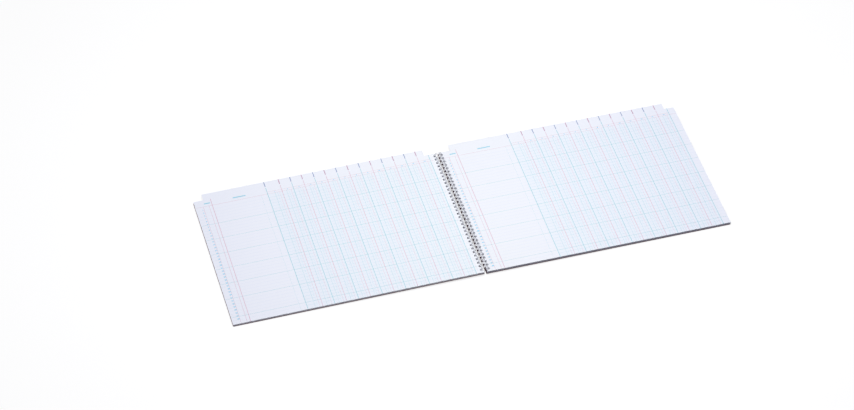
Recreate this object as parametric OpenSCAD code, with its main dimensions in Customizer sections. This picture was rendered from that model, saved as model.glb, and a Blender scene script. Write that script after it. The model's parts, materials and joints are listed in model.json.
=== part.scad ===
// Open columnar ledger book, bound with a twin-loop wire.
// The book lies open on its outside, spine along Y, left half at -X and right half at +X.
// Lengths are in millimetres, and the origin is the middle of the footprint.

/* [Leaves] */
// Width of a leaf, from its binding edge to its fore edge
leaf_w = 423; // [380:1:460]
// Height of the short leaves, from tail to head
leaf_h = 292.5; // [240:0.5:340]
// Thickness of the pages that lie to the right
right_pages_t = 4.2; // [2:0.1:7]
// Thickness of the pages that lie to the left
left_pages_t = 3.4; // [2:0.1:7]
// Gap between the two halves of the pages when the book is shut
shut_gap = 0.3; // [0.2:0.05:1]

/* [Heading tab] */
// Height that the heading leaf stands past the short leaves
tab_h = 14; // [6:0.5:20]
// Thickness of the heading leaf
tab_t = 0.3; // [0.2:0.05:0.6]
// Depth of the heading leaf below the open page
tab_depth = 0.2; // [0.1:0.05:0.6]
// Cut back from the binding edge to the tab
tab_spine_cut = 20; // [12:1:60]
// Cut back from the fore edge to the tab
tab_fore_cut = 17; // [5:1:60]
// Radius of the tab's two upper corners
tab_corner_r = 1.5; // [0.5:0.5:5]
// Length of the heading leaf that is bound in among the short leaves
tab_root = 30; // [10:1:100]

/* [Covers] */
// Thickness of each cover board
cover_t = 0.6; // [0.4:0.1:2]
// Overhang of a cover past the fore edge of the top leaf
cover_fore = 0.2; // [0.1:0.1:3]
// Overhang of a cover past the leaves at the head and at the tail
cover_ends = 0.5; // [0.2:0.1:3]
// Radius of a cover's two outer corners
cover_corner_r = 2; // [0.5:0.5:10]

/* [Binding edge] */
// Distance from the middle of the spine to the edge of the top leaf
edge_high = 3; // [2.6:0.1:4]
// Lean of the edges, from the top leaf to the lowest one, which lies nearer to the spine
edge_lean = 0.4; // [0.1:0.1:0.6]
// Distance from the middle of the spine to the edge of the back cover
back_edge = 0.8; // [0.5:0.1:1.2]
// Distance from the middle of the spine to the edge of the front cover
front_edge = 2.4; // [0.5:0.1:2.4]

/* [Wire] */
// Diameter of the wire
wire_d = 1; // [0.7:0.1:1.3]
// Distance between the middles of two loops along the spine, three to the inch
loop_pitch = 8.467; // [8:0.001:9]
// Distance between the two strands of a loop
strand_gap = 2.3; // [2:0.1:2.6]
// Room between the corner of the thicker half and the inside of the loops
loop_room = 0.75; // [0.6:0.05:2]
// Bend radius where a strand turns into the back of the comb
root_bend_r = 1.2; // [1:0.1:1.4]
// Extra thickness of the wire at its bends, where it is pressed to shape
bend_swell = 0.04; // [0.03:0.01:0.1]
// Gap between the loops' tips and the back of the comb where the wire is closed
seam_gap = 0.3; // [0.1:0.05:0.8]
// Least distance from the middle of the end holes to the head and tail edges
end_margin = 6; // [5:0.5:12]

/* [Holes] */
// Distance from the edge of the top leaf to its holes
hole_margin = 1.6; // [1.4:0.1:2.2]
// Length of a hole beyond the inside of the loops
hole_len = 2.8; // [2.5:0.1:4]
// Clearance from the inside of a loop to the wall of its hole
hole_clear = 0.3; // [0.25:0.05:0.35]
// Clearance beside each strand in its hole
hole_side = 0.35; // [0.2:0.05:0.6]

/* [Hidden] */
$fn = 64;
maroon = "#651f2c";
paper = "#e9edf8";
silver = "#b9bcc4";

// Angle and length by which the straight and round runs of wire end inside its bends
bend_bite = 1;
link_bite = 0.1;

// Depths are measured down from the axis of the loops, to the underside of each half
top_d = shut_gap / 2;
right_d = top_d + right_pages_t + cover_t;
left_d = top_d + left_pages_t + cover_t;
loop_r = max(right_d, left_d) + loop_room + wire_d / 2;
hole_r = loop_r - wire_d / 2 - hole_clear;
hole_w = strand_gap + wire_d + 2 * hole_side;
hole_x = edge_high + hole_margin;

// Reach of a cover from the middle of the spine, and the heights of its ends
reach = edge_high + leaf_w + cover_fore;
total_h = cover_ends + leaf_h + tab_h;
tail_y = -total_h / 2 + cover_ends;
head_y = tail_y + leaf_h;

// Loops along the spine, spread evenly about the middle of the leaves
loops = floor((leaf_h - 2 * end_margin) / loop_pitch) + 1;
first_y = (tail_y + head_y) / 2 - (loops - 1) * loop_pitch / 2;

// Angles from straight down at which the arcs end, so that the seam closes at the bottom
function seam_angle(bend) =
    asin((wire_d + seam_gap) / 2 / norm([loop_r, bend])) + atan2(bend, loop_r);
tip_a = seam_angle(strand_gap / 2);
root_a = seam_angle(root_bend_r);

// The lowest bend of the wire stands on the table
function bend_depth(bend) =
    loop_r * cos(seam_angle(bend)) + bend * sin(seam_angle(bend));
axis_z = wire_d / 2 + max(bend_depth(strand_gap / 2), bend_depth(root_bend_r));

// Slope at which a half lies, from the wire down to the outer edge of its cover
function slope(depth) = asin(axis_z / norm([depth, reach])) - atan2(depth, reach);

// Sets a half, modelled flat to the right of the loops' axis, at its slope
module lay(depth) {
    translate([0, 0, axis_z])
        rotate([0, slope(depth), 0])
            children();
}

// The same to the left of the spine
module lay_left(depth) {
    translate([0, 0, axis_z])
        mirror([1, 0, 0])
            rotate([0, slope(depth), 0])
                children();
}

// One row of holes, curved about the loops' axis so that the leaves turn freely on the wire
module hole_row() {
    for (i = [0 : loops - 1])
        translate([0, first_y + i * loop_pitch, 0])
            rotate([90, 0, 0])
                rotate_extrude()
                    translate([hole_r, -hole_w / 2])
                        square([hole_len, hole_w]);
}

// The same holes where they pass the upper leaves, with a straight wall beside the edge
module hole_walls() {
    for (i = [0 : loops - 1])
        translate([hole_x, first_y + i * loop_pitch - hole_w / 2, -0.6 * hole_r])
            cube([hole_r + hole_len / 2 - hole_x, hole_w, 0.6 * hole_r + hole_len / 2]);
}

// Sheet with square corners at x = 0 and two rounded corners at its far side
module rounded_sheet(w, h, r) {
    translate([0, r])
        square([w, h - 2 * r]);
    square([w - r, h]);
    translate([w - r, r])
        circle(r);
    translate([w - r, h - r])
        circle(r);
}

// Cover board of a half whose underside is at this depth, from its binding edge outwards
module cover_board(depth, edge) {
    difference() {
        translate([edge, tail_y - cover_ends, -depth])
            linear_extrude(cover_t)
                rounded_sheet(reach - edge, leaf_h + 2 * cover_ends, cover_corner_r);
        hole_row();
    }
}

// Leaf that stands past the others at the head, cut back at both ends
module heading_leaf() {
    tab_w = leaf_w - tab_spine_cut - tab_fore_cut;
    translate([edge_high + tab_spine_cut, head_y - tab_root, -top_d - tab_depth - tab_t])
        linear_extrude(tab_t) {
            square([tab_w, tab_root + tab_h - tab_corner_r]);
            translate([tab_corner_r, 0])
                square([tab_w - 2 * tab_corner_r, tab_root + tab_h]);
            for (x = [tab_corner_r, tab_w - tab_corner_r])
                translate([x, tab_root + tab_h - tab_corner_r])
                    circle(tab_corner_r);
        }
}

// Leaves of one half as a block with leaning edges, and its heading leaf
module page_block(pages_t) {
    low_d = top_d + pages_t;
    low_x = edge_high - edge_lean;
    difference() {
        union() {
            translate([0, head_y, 0])
                rotate([90, 0, 0])
                    linear_extrude(leaf_h)
                        polygon([
                            [edge_high, -top_d],
                            [low_x, -low_d],
                            [low_x + leaf_w, -low_d],
                            [edge_high + leaf_w, -top_d]
                        ]);
            heading_leaf();
        }
        hole_row();
        hole_walls();
    }
}

// Bend of the wire about Z, from the X axis round through this angle
module bend(r, a) {
    rotate_extrude(angle = a)
        translate([r, 0])
            circle(d = wire_d + bend_swell);
}

// Places a bend on the loop at this angle, with Z along the strand and Y along the spine
module on_loop(a) {
    rotate([0, -a, 0])
        translate([loop_r, 0, 0])
            children();
}

// One strand, from the back of the comb over the top to the tip, with its ends in the bends
module strand() {
    rotate([0, 90 - root_a + bend_bite, 0])
        rotate([90, 0, 0])
            rotate_extrude(angle = 360 - root_a - tip_a + 2 * bend_bite)
                translate([loop_r, 0])
                    circle(d = wire_d);
}

// Closed end of a loop, where its two strands meet
module loop_tip() {
    on_loop(-90 - tip_a)
        rotate([90, 0, 90])
            bend(strand_gap / 2, 180);
}

// Back of the comb, from the second strand of a loop to the first of the next
module root_link() {
    link_len = loop_pitch - strand_gap - 2 * root_bend_r;
    on_loop(-90 + root_a)
        translate([0, strand_gap / 2 + root_bend_r, 0]) {
            rotate([90, 0, 90])
                rotate([0, 0, 180])
                    bend(root_bend_r, 90);
            translate([0, -link_bite, -root_bend_r])
                rotate([-90, 0, 0])
                    cylinder(h = link_len + 2 * link_bite, d = wire_d);
            translate([0, link_len, 0])
                rotate([90, 0, 90])
                    rotate([0, 0, 270])
                        bend(root_bend_r, 90);
        }
}

module back_cover() {
    color(maroon)
        lay(right_d)
            cover_board(right_d, back_edge);
}

module front_cover() {
    color(maroon)
        lay_left(left_d)
            cover_board(left_d, front_edge);
}

module right_pages() {
    color(paper)
        lay(right_d)
            page_block(right_pages_t);
}

module left_pages() {
    color(paper)
        lay_left(left_d)
            page_block(left_pages_t);
}

module binding_wire() {
    color(silver)
        for (i = [0 : loops - 1]) {
            y = first_y + i * loop_pitch;
            translate([0, y - strand_gap / 2, axis_z])
                strand();
            translate([0, y + strand_gap / 2, axis_z])
                strand();
            translate([0, y, axis_z])
                loop_tip();
            if (i < loops - 1)
                translate([0, y, axis_z])
                    root_link();
        }
}

back_cover();
front_cover();
right_pages();
left_pages();
binding_wire();
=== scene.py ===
# %% [markdown]
# # An open ledger, bound with a twin-loop wire
# The CAD part gives the sizes, the boards, the wire and the motion. This scene gives the
# looks: leaves of paper in place of the two solid blocks, the ruling printed on them, the
# grain of the boards and the shine of the wire.
#
# The imported part comes first. Its nodes and bodies stay where they are, and every new piece
# is made in the same frame, in metres.

# %% The imported part
import json
import math
import random

import bpy
import numpy as np
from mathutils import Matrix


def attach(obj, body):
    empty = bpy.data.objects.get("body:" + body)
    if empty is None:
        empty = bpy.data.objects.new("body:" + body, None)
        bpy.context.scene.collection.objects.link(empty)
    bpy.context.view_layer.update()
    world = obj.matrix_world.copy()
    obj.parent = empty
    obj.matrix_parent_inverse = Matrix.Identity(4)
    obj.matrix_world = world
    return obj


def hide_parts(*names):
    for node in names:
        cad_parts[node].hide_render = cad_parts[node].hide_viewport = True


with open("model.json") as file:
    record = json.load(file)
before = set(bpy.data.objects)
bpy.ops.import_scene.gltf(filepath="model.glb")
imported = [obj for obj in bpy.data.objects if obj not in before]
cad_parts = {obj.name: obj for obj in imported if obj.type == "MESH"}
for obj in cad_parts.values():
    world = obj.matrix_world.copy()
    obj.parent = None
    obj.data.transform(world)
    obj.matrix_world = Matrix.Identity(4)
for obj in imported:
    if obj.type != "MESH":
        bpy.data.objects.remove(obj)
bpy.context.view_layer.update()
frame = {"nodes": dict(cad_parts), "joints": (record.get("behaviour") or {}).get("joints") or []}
MM = 0.001
random.seed(38)
print("nodes:", sorted(frame["nodes"]))

# %% [markdown]
# The book's main sizes come next, the same that the part was made from. Both halves turn
# about one axis, the middle of the wire's loops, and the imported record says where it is.
# Depth is measured down from that axis, so that one rule places a leaf in either half.

# %% Sizes of the book
AXIS = frame["joints"][0]["pos_m"]
LEAF_W = 423 * MM
TAIL, HEAD = -153 * MM, 139.5 * MM
MIDDLE = (TAIL + HEAD) / 2
TOP_DEPTH = 0.15 * MM
COVER_T, COVER_FORE, COVER_ENDS = 0.6 * MM, 0.2 * MM, 0.5 * MM
EDGE_HIGH, EDGE_LEAN = 3 * MM, 0.4 * MM
REACH = EDGE_HIGH + LEAF_W + COVER_FORE
HALVES = {
    "right": {"side": 1, "pages": 4.2 * MM, "body": "right_leaves", "node": "right_pages"},
    "left": {"side": -1, "pages": 3.4 * MM, "body": "left_leaves", "node": "left_pages"},
}
for half in HALVES.values():
    depth = TOP_DEPTH + half["pages"] + COVER_T
    full = math.asin(AXIS[2] / math.hypot(depth, REACH))
    half["slope"] = full - math.atan2(depth, REACH)
    print(half["node"], "lies at", round(math.degrees(half["slope"]), 3), "degrees")

# %% [markdown]
# The camera stands where the photograph was taken from. The ruled grid gave it away: rows
# of 7 mm and columns of 20 mm fit one place, turn and focal length best. Its colours are
# shown as they are, with the view transform Standard.

# %% Camera
CAMERA_PLACE = (-1.03788, -3.47972, 3.62084)
CAMERA_TURN = (0.788842, 0.001351, -0.276017)
FOCAL_LENGTH, SENSOR_W = 128.93, 36

bpy.ops.object.camera_add(location=CAMERA_PLACE, rotation=CAMERA_TURN)
camera = bpy.context.object
camera.name = "camera"
camera.data.lens, camera.data.sensor_width = FOCAL_LENGTH, SENSOR_W
camera.data.clip_start, camera.data.clip_end = 0.1, 50
bpy.context.scene.camera = camera
bpy.context.scene.view_settings.view_transform = "Standard"
print("lens:", camera.data.lens, "mm")

# %% [markdown]
# A node material is wires between boxes, so a few small helpers keep the later cells short.
# The first starts a material and gives its shader. The next two fill a node's inputs and add
# a node. An input is called by its name, or by its place as in _6, and its value is either a
# number, a colour or another node's output. The rest name the boxes that come back most.

# %% Helpers for materials
def start_material(name):
    material = bpy.data.materials.new(name)
    material.use_nodes = True
    tree = material.node_tree
    return material, tree, tree.nodes["Principled BSDF"]


def set_inputs(tree, node, **inputs):
    for key, value in inputs.items():
        place = int(key[1:]) if key[1:].isdigit() else key.replace("_", " ")
        if isinstance(value, bpy.types.NodeSocket):
            tree.links.new(value, node.inputs[place])
        else:
            node.inputs[place].default_value = value


def add_node(tree, kind, choices=(), **inputs):
    node = tree.nodes.new(kind)
    for attribute, value in dict(choices).items():
        setattr(node, attribute, value)
    set_inputs(tree, node, **inputs)
    return node


def object_place(tree):
    """The place of a point in its object, which is the book's own frame."""
    return add_node(tree, "ShaderNodeTexCoord").outputs["Object"]


def axes_of(tree, place):
    return add_node(tree, "ShaderNodeSeparateXYZ", Vector=place).outputs


def maths(tree, operation, *values):
    """One step of arithmetic, on as many numbers or outputs as it needs."""
    numbered = {f"_{number}": value for number, value in enumerate(values)}
    return add_node(tree, "ShaderNodeMath", {"operation": operation}, **numbered).outputs[0]


def ramp(tree, value, low, high, start=0.0, end=1.0, clamp=True):
    """A value that runs from start to end while the one given runs from low to high."""
    node = add_node(tree, "ShaderNodeMapRange", {"clamp": clamp}, Value=value, From_Min=low,
                    From_Max=high, To_Min=start, To_Max=end)
    return node.outputs[0]


def mix(tree, amount, first, second, blend="MIX"):
    """The second colour laid over the first, or with MULTIPLY the first toned down by it."""
    node = add_node(tree, "ShaderNodeMix", {"data_type": "RGBA", "blend_type": blend},
                    _0=amount, _6=first, _7=second)
    return node.outputs[2]


def noise(tree, place, scale, detail, roughness=0.5):
    node = add_node(tree, "ShaderNodeTexNoise", Vector=place, Scale=scale, Detail=detail,
                    Roughness=roughness)
    return node.outputs[0]


def bump(tree, height, strength, distance):
    node = add_node(tree, "ShaderNodeBump", Strength=strength, Distance=distance, Height=height)
    return node.outputs[0]


def colour(red, green, blue):
    """A colour as a paint program gives it, turned into the light that it stands for."""
    parts = [v / 255 for v in (red, green, blue)]
    light = [v / 12.92 if v <= 0.04045 else ((v + 0.055) / 1.055) ** 2.4 for v in parts]
    return (*light, 1)


print("a mid grey of 128 is", round(colour(128, 128, 128)[0], 3), "of white")

# %% [markdown]
# The book lies on a pale table in soft light. A broad lamp hangs over the spine, so that
# the pages are brightest near it, and white surroundings fill in from all sides. The
# camera sees those surroundings, and the table outside the book's faint shadow, as plain
# white: Light Path tells the rays that come from the camera from those that carry light.
# More of that light comes from behind and from the left than from the front and the
# right, so that the tail edges lie in shade, as they do in the photograph.

# %% Surroundings
FILL_LIGHT, FROM_BEHIND, FROM_LEFT = 0.49, 0.68, 0.6
WHITE = (1, 1, 1, 1)


def seen_ray(tree):
    """1 for a ray from the camera, or one mirrored or let through, and 0 for the others."""
    path = add_node(tree, "ShaderNodeLightPath").outputs
    mirrored = maths(tree, "MAXIMUM", path["Is Camera Ray"], path["Is Glossy Ray"])
    return maths(tree, "MAXIMUM", mirrored, path["Is Transmission Ray"])


world = bpy.data.worlds.new("studio")
world.use_nodes = True
bpy.context.scene.world = world
tree = world.node_tree
toward = axes_of(tree, object_place(tree))
bright_side = maths(tree, "MULTIPLY_ADD", toward["X"], -FROM_LEFT / FROM_BEHIND, toward["Y"])
fill_light = ramp(tree, bright_side, -1.0, 1.0, FILL_LIGHT * (1 - FROM_BEHIND),
                  FILL_LIGHT * (1 + FROM_BEHIND), clamp=False)
set_inputs(tree, tree.nodes["Background"], Color=WHITE,
           Strength=ramp(tree, seen_ray(tree), 0.0, 1.0, fill_light, 1.0))
print("fill light:", FILL_LIGHT, "of white, on average")

# %% [markdown]
# The lamp is an area light, whose size decides how soft the shadows are. The table is one
# wide plane. It gets a little light of its own that only seen rays meet, which makes it
# white in the picture while it throws no more light on the book than a grey table does.

# %% Lamp and table
LAMP_PLACE, LAMP_SIZE, LAMP_POWER = (0.05, 0.04, 1.15), 0.7, 8.4
TABLE_SIZE, TABLE_LIFT = 30, 0.75

bpy.ops.object.light_add(type="AREA", location=LAMP_PLACE)
lamp = bpy.context.object
lamp.name = "lamp"
lamp.data.size, lamp.data.energy = LAMP_SIZE, LAMP_POWER

bpy.ops.mesh.primitive_plane_add(size=TABLE_SIZE, location=(0, 0, 0))
table = bpy.context.object
table.name = "table"
table_top, tree, shader = start_material("table_top")
set_inputs(tree, shader, Base_Color=colour(150, 150, 152), Roughness=0.9,
           Specular_IOR_Level=0.0, Emission_Color=WHITE,
           Emission_Strength=maths(tree, "MULTIPLY", seen_ray(tree), TABLE_LIFT))
table.data.materials.append(table_top)
print("lamp:", lamp.data.energy, "W over a table of", table.dimensions.x, "m")

# %% [markdown]
# Paper is never one flat white. Its fibres make a fine mottle and a faint tooth, which
# noise at two scales gives. Its blue deepens a little from the spine outwards, which is
# painted shade: the bluer tone of the shade that the outer parts of the pages lie in. The
# columns of a ledger are printed on a light blue tint, so the open pages are toned down to
# it inside a rectangle, told by Object coordinates.

# %% Paper
PAPER, PAPER_IN_OUTER_SHADE = colour(237, 240, 248), colour(237, 240, 253)
OUTER_SHADE_FROM = 20 * MM
TINT = (0.967, 0.995, 1.0, 1)
TINT_SOFT = 0.15 * MM


def between(tree, value, low, high):
    """1 where the value lies between two limits, and 0 outside them."""
    up = ramp(tree, value, low - TINT_SOFT, low + TINT_SOFT)
    down = ramp(tree, value, high - TINT_SOFT, high + TINT_SOFT, 1.0, 0.0)
    return maths(tree, "MULTIPLY", up, down)


def paper(name, tinted=None):
    """Paper, with the tint in a rectangle if one is given, as X from and to, Y from and to."""
    material, tree, shader = start_material(name)
    place = object_place(tree)
    axes = axes_of(tree, place)
    # Painted shade: the paper turns bluer from the spine outwards, as the shade it lies in does.
    outwards = ramp(tree, maths(tree, "ABSOLUTE", axes["X"]), OUTER_SHADE_FROM, REACH)
    sheet = mix(tree, outwards, PAPER, PAPER_IN_OUTER_SHADE)
    if tinted:
        inside = maths(tree, "MULTIPLY", between(tree, axes["X"], *tinted[:2]),
                       between(tree, axes["Y"], *tinted[2:]))
        sheet = mix(tree, inside, sheet, TINT, "MULTIPLY")
    mottle = ramp(tree, noise(tree, place, 900.0, 6.0, 0.65), 0.3, 0.7, 0.975, 1.0)
    tooth = noise(tree, place, 5200.0, 3.0)
    set_inputs(tree, shader, Base_Color=mix(tree, 1.0, sheet, mottle, "MULTIPLY"),
               Normal=bump(tree, tooth, 0.12, 0.04 * MM), Roughness=0.72,
               Specular_IOR_Level=0.25)
    return material


leaf_paper = paper("leaf_paper")
print("paper:", [round(v, 3) for v in PAPER[:3]])

# %% [markdown]
# Where a leaf is cut, its edge is rougher than its face, with a nap of noise, and greyer: a
# grey that is partly painted shade, the shade along a stack's edges and in its holes. The
# edges of the left half are painted lighter than those of the right half, as the photograph
# shows them: painted light and shade, with the right half's edges in deeper shade. One
# GREATER_THAN on Object X picks between two pairs of greys.

# %% Cut edges
# Both pairs of greys are painted shade on the cut edges, and the right half's is the deeper.
LIT_EDGES_LEFT = colour(224, 222, 238), colour(243, 241, 250)
SHADED_EDGES_RIGHT = colour(172, 169, 190), colour(202, 198, 215)


def cut_edge_material():
    material, tree, shader = start_material("cut_edge")
    place = object_place(tree)
    nap = noise(tree, place, 420.0, 5.0)
    on_right = maths(tree, "GREATER_THAN", axes_of(tree, place)["X"], 0.0)
    edges = mix(tree, on_right, mix(tree, nap, *LIT_EDGES_LEFT), mix(tree, nap, *SHADED_EDGES_RIGHT))
    set_inputs(tree, shader, Base_Color=edges, Roughness=0.9, Specular_IOR_Level=0.15)
    return material


cut_edge = cut_edge_material()
print("cut edges:", cut_edge.name, "with", len(cut_edge.node_tree.nodes), "nodes")

# %% [markdown]
# Making meshes by hand in Blender is selecting and then acting. Scripted, that takes three
# helpers: one changes the mode, one selects a single piece, and one picks the faces or
# edges of a piece that pass a test, ready for the next operator in edit mode.

# %% Helpers for meshes
def mode(name):
    bpy.ops.object.mode_set(mode=name)


def only(piece):
    """Selects one piece and nothing else, and makes it the active one."""
    bpy.ops.object.select_all(action="DESELECT")
    piece.select_set(True)
    bpy.context.view_layer.objects.active = piece


def pick(piece, kind, test):
    """Selects the polygons or edges that pass a test, in edit mode, and counts them."""
    only(piece)
    mode("EDIT")
    bpy.ops.mesh.select_mode(type="FACE" if kind == "polygons" else "EDGE")
    bpy.ops.mesh.select_all(action="DESELECT")
    mode("OBJECT")
    found = [part for part in getattr(piece.data, kind) if test(part)]
    for part in found:
        part.select = True
    mode("EDIT")
    return len(found)


def face_outwards(piece):
    """Turns every face of a piece outwards, and leaves it in object mode."""
    mode("OBJECT")
    only(piece)
    mode("EDIT")
    bpy.ops.mesh.select_all(action="SELECT")
    bpy.ops.mesh.normals_make_consistent(inside=False)
    mode("OBJECT")


def join(pieces, name):
    bpy.ops.object.select_all(action="DESELECT")
    for piece in pieces:
        piece.select_set(True)
    bpy.context.view_layer.objects.active = pieces[0]
    if len(pieces) > 1:
        bpy.ops.object.join()
    pieces[0].name = pieces[0].data.name = name
    return pieces[0]


print("helpers for meshes are ready, with Blender in mode", bpy.context.mode)

# %% [markdown]
# A ledger's leaf is one sheet, punched along its binding edge: 34 holes, three to the
# inch. The pattern leaf starts as a grid of three columns, of which the middle one holds
# the holes, and its rows are moved to the holes' ends. The faces inside the holes go, and
# the sheet is extruded. The upright faces are its cut edges, which get the second
# material. For now X only counts the columns of points, 0 to 3, and Z runs from 0 to -1,
# so that each copy can set its own widths and thickness.

# %% The pattern leaf
HOLES, PITCH, HOLE_W = 34, 8.467 * MM, 4 * MM
GRID_COLUMNS = 3
first_hole = MIDDLE - (HOLES - 1) * PITCH / 2
row_y = [TAIL]
for number in range(HOLES):
    middle = first_hole + number * PITCH
    row_y += [middle - HOLE_W / 2, middle + HOLE_W / 2]
row_y.append(HEAD)
grid_rows = len(row_y) - 1

bpy.ops.mesh.primitive_grid_add(x_subdivisions=GRID_COLUMNS, y_subdivisions=grid_rows, size=1)
pattern = bpy.context.object
pattern.name = "pattern_leaf"
for point in pattern.data.vertices:
    row = round((point.co.y + 0.5) * grid_rows)
    point.co = (round((point.co.x + 0.5) * GRID_COLUMNS), row_y[row], 0)


def in_a_hole(face):
    along = (face.center.y - first_hole) / PITCH
    return abs(face.center.x - GRID_COLUMNS / 2) < 0.1 and abs(along - round(along)) < 0.01


punched = pick(pattern, "polygons", in_a_hole)
bpy.ops.mesh.delete(type="FACE")
bpy.ops.mesh.select_all(action="SELECT")
bpy.ops.mesh.extrude_region_move(TRANSFORM_OT_translate={"value": (0, 0, -1)})
face_outwards(pattern)
pattern.data.materials.append(leaf_paper)
pattern.data.materials.append(cut_edge)
for face in pattern.data.polygons:
    face.material_index = int(abs(face.normal.z) < 0.5)
print("holes punched:", punched, "faces:", len(pattern.data.polygons))

# %% [markdown]
# The loops of wire are round, so a row of holes isn't straight down through the book: it
# curves about the loops' axis, as the CAD part's holes do. Each copy of the pattern works
# out its columns from its depth: where its binding edge lies, where the holes begin and
# end, and where its fore edge comes. A copy of the data is edited in one go, as an array.

# %% A leaf at its depth
HOLE_X, TUNNEL_NEAR, TUNNEL_FAR = 4.6 * MM, 5.4 * MM, 8.2 * MM


def columns_at(half, depth, thickness):
    edge = EDGE_HIGH - EDGE_LEAN * (depth - TOP_DEPTH) / half["pages"]
    near = min(HOLE_X, math.sqrt(TUNNEL_NEAR**2 - (depth + thickness) ** 2))
    far = math.sqrt(TUNNEL_FAR**2 - depth**2)
    return np.array([edge, near, far, edge + LEAF_W])


def twin(piece, name):
    copy = piece.copy()
    copy.data = piece.data.copy()
    bpy.context.collection.objects.link(copy)
    copy.name = copy.data.name = name
    return copy


def copy_leaf(name, half, depth, thickness, slip=(0, 0)):
    """The pattern at a depth, slipped a little at its fore edge and along the spine."""
    piece = twin(pattern, name)
    points = np.empty(len(piece.data.vertices) * 3)
    piece.data.vertices.foreach_get("co", points)
    points = points.reshape(-1, 3)
    columns = columns_at(half, depth, thickness)
    columns[3] += slip[0]
    points[:, 0] = half["side"] * columns[points[:, 0].round().astype(int)]
    points[:, 1] += slip[1]
    points[:, 2] = points[:, 2] * thickness - depth
    piece.data.vertices.foreach_set("co", points.ravel())
    return piece


print("binding edge, hole and fore edge of the top leaf, in mm:",
      (columns_at(HALVES["right"], TOP_DEPTH, 0) / MM).round(2))

# %% [markdown]
# Each half gets an open leaf on top, a stack below and a last leaf at the bottom. The open
# and the last leaf are pieces of their own, because both will be printed. In the stack the
# leaves lie a hair apart, and a little slip from leaf to leaf makes a real edge. The
# randomness is seeded above, so the same stack comes out each time.

# %% Open leaf, stack and last leaf
OPEN_LEAF_T, LEAF_T, LEAF_STEP = 0.17 * MM, 0.11 * MM, 0.14 * MM
TAB_TOP, TAB_T, TAB_ROOM = 0.35 * MM, 0.3 * MM, 0.02 * MM
INK_ROOM = 0.06 * MM
SLIP_FORE, SLIP_ALONG, UNEVEN = (-0.2, 0.1), (-0.12, 0.12), (0.94, 1.06)

for side, half in HALVES.items():
    half["top"] = copy_leaf(f"{side}_open_leaf", half, TOP_DEPTH, OPEN_LEAF_T)
    half["underside"] = TOP_DEPTH + half["pages"] - INK_ROOM
    half["last"] = copy_leaf(f"{side}_last_leaf", half, half["underside"] - LEAF_T, LEAF_T)
    depth, leaves = TAB_TOP + TAB_T + TAB_ROOM, []
    while depth + LEAF_T < half["underside"] - LEAF_T:
        slip = (random.uniform(*SLIP_FORE) * MM, random.uniform(*SLIP_ALONG) * MM)
        leaves.append(copy_leaf(f"leaf_{len(leaves)}", half, depth, LEAF_T, slip))
        depth += LEAF_STEP * random.uniform(*UNEVEN)
    half["stack"] = join(leaves, f"{side}_leaves")
    print(side, "stack:", len(leaves), "leaves,", len(half["stack"].data.polygons), "faces")

# %% [markdown]
# Near the top of each half lies the heading leaf, which stands 14 mm past the others at
# the head, so that its tab shows above the open page. It is the same leaf again: two cuts
# across it mark the tab's ends, the face between them is extruded, and the tab's corners
# are rounded with a bevel.

# %% Heading leaves
TAB_H, TAB_FROM, TAB_TO, TAB_ROUND = 14 * MM, 23 * MM, 409 * MM, 1.5 * MM


def on_tab_root(face):
    at_head = face.normal.y > 0.9 and face.center.y > HEAD - MM
    return at_head and TAB_FROM < abs(face.center.x) < TAB_TO


def at_tab_corner(piece, edge):
    ends = [piece.data.vertices[i].co for i in edge.vertices]
    upright = abs(ends[0].z - ends[1].z) > TAB_T / 2
    return upright and all(end.y > HEAD + TAB_H / 2 for end in ends)


for side, half in HALVES.items():
    half["heading"] = copy_leaf(f"{side}_heading_leaf", half, TAB_TOP, TAB_T)
    face_outwards(half["heading"])
    mode("EDIT")
    for cut in (TAB_FROM, TAB_TO):
        bpy.ops.mesh.select_all(action="SELECT")
        bpy.ops.mesh.bisect(plane_co=(half["side"] * cut, 0, 0), plane_no=(1, 0, 0))
    mode("OBJECT")
    roots = pick(half["heading"], "polygons", on_tab_root)
    bpy.ops.mesh.extrude_region_move(TRANSFORM_OT_translate={"value": (0, TAB_H, 0)})
    mode("OBJECT")
    corners = pick(half["heading"], "edges",
                   lambda edge: at_tab_corner(half["heading"], edge))
    bpy.ops.mesh.bevel(offset=TAB_ROUND, segments=6, affect="EDGES")
    mode("OBJECT")
    print(side, "tab: root faces", roots, "corners", corners)

# %% [markdown]
# The ruling is printed, and a print has next to no height. It is still made as geometry,
# plates of ink a few hundredths of a millimetre high, because lines this fine would blur
# in any picture that is stretched over the page. U is measured across the page from the
# first heavy column line, and Y is the book's. A line that repeats is drawn once and then
# repeated with an Array modifier: 38 rows of 7 mm, and 13 columns of 20 mm after a first
# one of 25.2 mm. Each kind of line has its own height, so crossing lines never share a
# face.

# %% Plates of ink
ROW, COLUMN, FIRST_COLUMN = 7 * MM, 20 * MM, 25.2 * MM
ROWS, COLUMNS = 38, 14
ROW_0 = HEAD - 17.8 * MM
HEADER_LOW, HEADER_HIGH = ROW_0 + 2.0 * MM, ROW_0 + 6.6 * MM
LAST_LINE = FIRST_COLUMN + (COLUMNS - 1) * COLUMN
INK_ROOT, END_GAP, MERGE = 0.02 * MM, 0.1 * MM, 0.002 * MM
HEIGHTS = {"rows": 0.02 * MM, "heavy": 0.03 * MM, "fine": 0.04 * MM, "main": 0.05 * MM}


def raise_ink(piece, height):
    """Extrudes a flat piece from under the paper's face to a height above it."""
    only(piece)
    mode("EDIT")
    bpy.ops.mesh.select_all(action="SELECT")
    bpy.ops.mesh.remove_doubles(threshold=MERGE)
    bpy.ops.mesh.extrude_region_move(
        TRANSFORM_OT_translate={"value": (0, 0, height + INK_ROOT)})
    face_outwards(piece)


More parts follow.
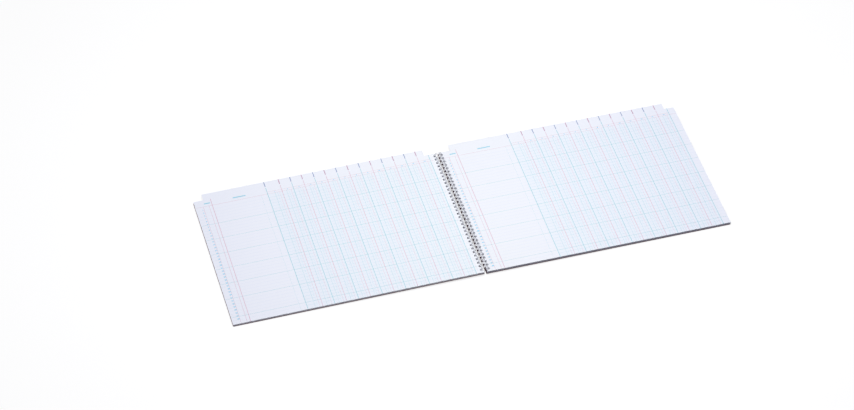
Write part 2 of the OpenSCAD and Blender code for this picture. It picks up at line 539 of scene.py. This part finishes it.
def bar(u0, u1, y0, y1, height, repeat=1, step=(0, 0)):
    """A plate of ink on the paper, and its copies a step apart."""
    bpy.ops.mesh.primitive_plane_add(size=1, location=((u0 + u1) / 2, (y0 + y1) / 2, -INK_ROOT))
    plate = bpy.context.object
    plate.scale = (u1 - u0, y1 - y0, 1)
    bpy.ops.object.transform_apply(location=True, rotation=True, scale=True)
    raise_ink(plate, height)
    if repeat > 1:
        array = plate.modifiers.new("repeat", "ARRAY")
        array.use_relative_offset = False
        array.use_constant_offset = True
        array.constant_offset_displace = (*step, 0)
        array.count = repeat
        bpy.ops.object.modifier_apply(modifier="repeat")
    return plate


def row_line(u0, u1, row, width, kind, repeat=1):
    y = ROW_0 - row * ROW
    return bar(u0, u1, y - width / 2, y + width / 2, HEIGHTS[kind], repeat, (0, -ROW))


def column_line(u, width, kind, top=HEAD, repeat=1, step=COLUMN):
    return bar(u - width / 2, u + width / 2, TAIL + END_GAP, top - END_GAP, HEIGHTS[kind],
               repeat, (step, 0))


print("ruled width:", round(LAST_LINE / MM, 1), "mm, height:", round(ROWS * ROW / MM, 1), "mm")

# %% [markdown]
# One page has 38 thin rows, seven of them drawn over as heavy ones, and a bolder line at
# each column, blue and rose by turns, with three fine lines inside each column for the
# digits. The left part of the page has the number margin and the text column. Two short
# bars stand where a page has words. The lists below give a line's distance, ink and width,
# in millimetres, so that a change to the print is a change to one row of a list.

# %% The ruling of one page
HEAVY_ROWS = (6, 11, 16, 21, 26, 31, 37)
ROW_W, HEAVY_W = 0.3 * MM, 0.42 * MM
HEADER_W, WORD_H = 0.3 * MM, 2.2 * MM
FIRST_MAIN_W, BLUE_MAIN_W, ROSE_MAIN_W = 0.68 * MM, 0.66 * MM, 0.6 * MM
DIGIT_LINES = ((12.4, "sky", 0.24), (8.4, "sky", 0.1), (4.7, "rose", 0.24))
BOLD_MARGIN = -95.6
MARGIN_LINES = ((-111.2, "rose", 0.3), (-101.2, "rose", 0.36), (BOLD_MARGIN, "rose", 0.72),
                (-11.3, "sky", 0.12))
WORDS = ((-108.6, -97.9, 8.6), (-58.7, -36.7, 9.2))


def ruling(left_end, right_end):
    """All the ruling of one page, as a list of plates for each ink."""
    inks = {name: [] for name in ("sky", "rose", "pale", "faint", "mist")}
    parts = (("faint", left_end, 0), ("pale", 0, LAST_LINE), ("faint", LAST_LINE, right_end))
    for ink, u0, u1 in parts:
        inks[ink].append(row_line(u0, u1, 1, ROW_W, "rows", ROWS))
    for row in HEAVY_ROWS:
        for _, u0, u1 in parts:
            width = HEAVY_W if u0 == 0 else ROW_W
            inks["sky"].append(row_line(u0, u1, row, width, "heavy"))
    inks["sky"].append(column_line(0, FIRST_MAIN_W, "main"))
    for ink, u, width in (("sky", FIRST_COLUMN + COLUMN, BLUE_MAIN_W),
                          ("rose", FIRST_COLUMN, ROSE_MAIN_W)):
        inks[ink].append(column_line(u, width, "main", HEAD, COLUMNS // 2, 2 * COLUMN))
    for back, ink, width in DIGIT_LINES:
        u = FIRST_COLUMN - back * MM
        inks[ink].append(column_line(u, width * MM, "fine", HEADER_LOW, COLUMNS))
    for u, ink, width in MARGIN_LINES:
        top = HEAD if u == BOLD_MARGIN else HEADER_LOW
        inks[ink].append(column_line(u * MM, width * MM, "fine", top))
    for y, u0, u1 in ((HEADER_LOW, left_end, right_end), (HEADER_HIGH, 0, LAST_LINE)):
        inks["rose"].append(bar(u0, u1, y - HEADER_W / 2, y + HEADER_W / 2, HEIGHTS["heavy"]))
    for u0, u1, above in WORDS:
        y = ROW_0 + above * MM
        inks["mist"].append(bar(u0 * MM, u1 * MM, y - WORD_H / 2, y + WORD_H / 2,
                                HEIGHTS["fine"]))
    return inks


HALVES["right"].update(line_0=128.1 * MM, rows=(-119 * MM, 297.4 * MM))
HALVES["left"].update(line_0=-(16.0 * MM + LAST_LINE), rows=(-124 * MM, 291 * MM))
for side, half in HALVES.items():
    print(side, "page: rows from", [round(u / MM, 1) for u in half["rows"]], "mm in U")

# %% [markdown]
# The tab of the heading leaf carries a short thick bar over each bolder column line, dark
# blue and wine red by turns, so that the columns can be followed up to their headings.
# Then everything is there to draw the page and the tab of each half.

# %% Bars on the tabs, and both halves drawn
TAB_BAR_W, TAB_BAR_LOW = 1.25 * MM, HEAD + 2.2 * MM


def tab_bars():
    bars = {"navy": [], "wine": []}
    for ink, u, repeat in (("navy", 0, 1),
                           ("navy", FIRST_COLUMN + COLUMN, COLUMNS // 2 - 1),
                           ("wine", FIRST_COLUMN, COLUMNS // 2)):
        bars[ink].append(bar(u - TAB_BAR_W / 2, u + TAB_BAR_W / 2, TAB_BAR_LOW,
                             HEAD + TAB_H - END_GAP, HEIGHTS["main"], repeat, (2 * COLUMN, 0)))
    return bars


for side, half in HALVES.items():
    half["print"], half["tab_print"] = ruling(*half["rows"]), tab_bars()
    for name in ("print", "tab_print"):
        print(side, name, {ink: len(plates) for ink, plates in half[name].items()})

# %% [markdown]
# Numbers are the only signs on the pages: 1 to 38 beside the rows, 1 to 14 over the
# columns. Blender's own font draws them flat. They are made a mesh, their doubled points
# are merged, and one extrusion gives them the ink's height. An offset makes them bolder.

# %% Numbers
BOLDER = 0.13 * MM
ROW_SIGN, COLUMN_SIGN = 3.6 * MM, 3.2 * MM
SIGN_U, SIGN_ABOVE_ROW, SIGN_ABOVE_HEADER = -113.4 * MM, 0.4 * MM, 1.3 * MM


def number_mesh(text, u, y, size):
    bpy.ops.object.text_add(location=(u, y, -INK_ROOT))
    sign = bpy.context.object
    sign.data.body = text
    sign.data.size = size
    sign.data.align_x = "CENTER"
    sign.data.offset = BOLDER
    sign.data.resolution_u = 2
    bpy.ops.object.convert(target="MESH")
    bpy.ops.object.transform_apply(location=True, rotation=True, scale=True)
    return bpy.context.object


signs = []
for row in range(1, ROWS + 1):
    signs.append(number_mesh(str(row), SIGN_U, ROW_0 - row * ROW + SIGN_ABOVE_ROW, ROW_SIGN))
for column in range(1, COLUMNS + 1):
    u = FIRST_COLUMN / 2 if column == 1 else FIRST_COLUMN + (column - 1.5) * COLUMN
    signs.append(number_mesh(str(column), u, HEADER_LOW + SIGN_ABOVE_HEADER, COLUMN_SIGN))
numbers = join(signs, "numbers")
raise_ink(numbers, HEIGHTS["fine"])
print("numbers:", len(numbers.data.polygons), "faces")

# %% [markdown]
# Printing ink lies thin and a little uneven, so the fibres show through it: each ink is
# its colour, varied a few hundredths by noise. Eight inks do for the whole ledger.

# %% Inks
INKS = {
    "sky": colour(111, 195, 211),
    "azure": colour(104, 207, 243),
    "mist": colour(142, 208, 230),
    "rose": colour(214, 163, 187),
    "pale": colour(184, 213, 235),
    "faint": colour(220, 227, 247),
    "navy": colour(118, 140, 188),
    "wine": colour(184, 132, 166),
}
THINNEST_INK = 0.16


def ink_material(name, tone):
    material, tree, shader = start_material(name)
    uneven = noise(tree, object_place(tree), 1600.0, 3.0)
    thin = ramp(tree, uneven, 0.35, 0.65, 0.0, THINNEST_INK)
    set_inputs(tree, shader, Base_Color=mix(tree, thin, tone, PAPER), Roughness=0.65,
               Specular_IOR_Level=0.25)
    return material


ink_materials = {name: ink_material(f"ink_{name}", tone) for name, tone in INKS.items()}
print("inks:", sorted(ink_materials))

# %% [markdown]
# The numbers and the plates of each ink become one piece for each page. A leaf is printed
# on both sides, so the last leaf of each half also gets the other page's print, which
# shows when that half is leafed across. Half a turn about the direction of the spine makes
# such a print face down.

# %% Prints for both sides
def turned_over(piece, name):
    """A copy that faces down, turned about the direction of the spine."""
    copy = twin(piece, name)
    only(copy)
    copy.rotation_euler = (0, math.pi, 0)
    bpy.ops.object.transform_apply(location=True, rotation=True, scale=True)
    return copy


for side, half in HALVES.items():
    half["inks"] = {name: join(plates, f"{side}_ruling_{name}")
                    for name, plates in half["print"].items()}
    half["inks"]["azure"] = twin(numbers, f"{side}_numbers")
for side, other in (("right", "left"), ("left", "right")):
    HALVES[side]["back_0"] = -HALVES[other]["line_0"]
    HALVES[side]["back_inks"] = {name: turned_over(ink, f"{side}_back_{name}")
                                 for name, ink in HALVES[other]["inks"].items()}
    print(side, "half:", len(HALVES[side]["inks"]), "prints on its open leaf,",
          len(HALVES[side]["back_inks"]), "under its last leaf")

# %% [markdown]
# Now the halves are laid down. Everything so far was made flat, with the loops' axis at
# height 0. Each half slopes a fraction of a degree from the wire down to the edge of its
# cover, so its pieces are turned by that angle, lifted to the axis, and the turn is
# applied, which leaves the finished objects unturned at the origin. Then each piece is
# told which body it rides on, and the leaves take the place of the solid block.

# %% Laying the halves down
def lay(piece, half, across=0.0, down=0.0):
    only(piece)
    bpy.ops.transform.translate(value=(across, 0, -down))
    bpy.ops.object.transform_apply(location=True, rotation=True, scale=True)
    piece.rotation_euler = (0, half["side"] * half["slope"], 0)
    piece.location = (0, 0, AXIS[2])
    bpy.ops.object.transform_apply(location=True, rotation=True, scale=True)


def dress(piece, material, half):
    """Gives a piece its material, and leaves a leaf's cut edges as they are."""
    if len(piece.data.materials) == 2:
        piece.data.materials[0] = material
    else:
        piece.data.materials.append(material)
    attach(piece, half["body"])


for side, half in HALVES.items():
    line_0, back_0 = half["line_0"], half["back_0"]
    tint = (line_0, line_0 + LAST_LINE, TAIL - MM, HEADER_LOW)
    page_paper = paper(f"{side}_page_paper", tint)
    back_paper = paper(f"{side}_back_paper", (back_0 - LAST_LINE, back_0, *tint[2:]))
    for key, material in (("stack", leaf_paper), ("heading", leaf_paper), ("top", page_paper),
                          ("last", back_paper)):
        face_outwards(half[key])
        lay(half[key], half)
        dress(half[key], material, half)
    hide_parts(half["node"])
    for name, ink in half["inks"].items():
        lay(ink, half, line_0, TOP_DEPTH)
        dress(ink, ink_materials[name], half)
    for name, ink in half["back_inks"].items():
        lay(ink, half, back_0, half["underside"])
        dress(ink, ink_materials[name], half)
    for name, plates in half["tab_print"].items():
        ink = join(plates, f"{side}_tab_bars_{name}")
        lay(ink, half, line_0, TAB_TOP)
        dress(ink, ink_materials[name], half)
    print(side, "half laid at", round(math.degrees(half["side"] * half["slope"]), 3), "degrees")
for helper in (pattern, numbers):
    bpy.data.objects.remove(helper)

# %% [markdown]
# The covers are pressed board, dyed maroon right through, with a fine pebbled grain. The
# CAD boards have the right shape, so only their finish is made: two maroons mixed by
# noise, a grain of small cells as bump, and paler rubbed edges, told by how near a point
# is to the board's outline. Beside the wire, a dark strip is painted shade: it matches the
# dark line that the photograph shows between the two halves, the shadow in the gap there.

# %% Cover boards
MAROON, MAROON_LIGHT = colour(94, 25, 38), colour(109, 34, 48)
RUBBED, SPINE_SHADE = colour(150, 92, 98), colour(34, 10, 15)
RUB_FORE, RUB_ENDS = 1.6 * MM, 1.4 * MM
SPINE_SHADE_FROM, SPINE_SHADE_TO, SPINE_SHADE_DEPTH = 3.2 * MM, 4.2 * MM, 0.8


def board_material():
    material, tree, shader = start_material("pressed_board")
    place = object_place(tree)
    axes = axes_of(tree, place)
    cloud = noise(tree, place, 45.0, 7.0, 0.6)
    across = maths(tree, "ABSOLUTE", axes["X"])
    along = maths(tree, "ABSOLUTE", maths(tree, "SUBTRACT", axes["Y"], MIDDLE))
    reach_y = (HEAD - TAIL) / 2 + COVER_ENDS
    rub = maths(tree, "MAXIMUM", ramp(tree, across, REACH - RUB_FORE, REACH),
                ramp(tree, along, reach_y - RUB_ENDS, reach_y))
    worn = maths(tree, "MULTIPLY", rub, noise(tree, place, 260.0, 5.0))
    dyed = mix(tree, worn, mix(tree, cloud, MAROON, MAROON_LIGHT), RUBBED)
    # Painted shade: the board darkens beside the wire, where the gap between the halves lies in
    # shadow.
    spine_shade = ramp(tree, across, SPINE_SHADE_FROM, SPINE_SHADE_TO, SPINE_SHADE_DEPTH, 0.0)
    grain = add_node(tree, "ShaderNodeTexVoronoi", Vector=place, Scale=1300.0)
    set_inputs(tree, shader, Base_Color=mix(tree, spine_shade, dyed, SPINE_SHADE),
               Roughness=ramp(tree, cloud, 0.0, 1.0, 0.42, 0.58),
               Normal=bump(tree, grain.outputs["Distance"], 0.35, 0.08 * MM),
               Specular_IOR_Level=0.08)
    return material


cover_board = board_material()
for node in ("back_cover", "front_cover"):
    cover = frame["nodes"][node].data
    cover.materials.clear()
    cover.materials.append(cover_board)
print("boards:", cover_board.name)

# %% [markdown]
# The comb is bright drawn wire. Drawing leaves fine streaks and small dull spots, so its
# roughness varies a little from place to place while its colour stays one light steel.

# %% Wire
wire_metal, tree, shader = start_material("bright_wire")
spots = noise(tree, object_place(tree), 700.0, 4.0)
set_inputs(tree, shader, Base_Color=colour(214, 215, 219), Metallic=1.0,
           Roughness=ramp(tree, spots, 0.3, 0.7, 0.3, 0.46))
comb = frame["nodes"]["binding_wire"].data
comb.materials.clear()
comb.materials.append(wire_metal)
print("wire:", len(comb.polygons), "faces")
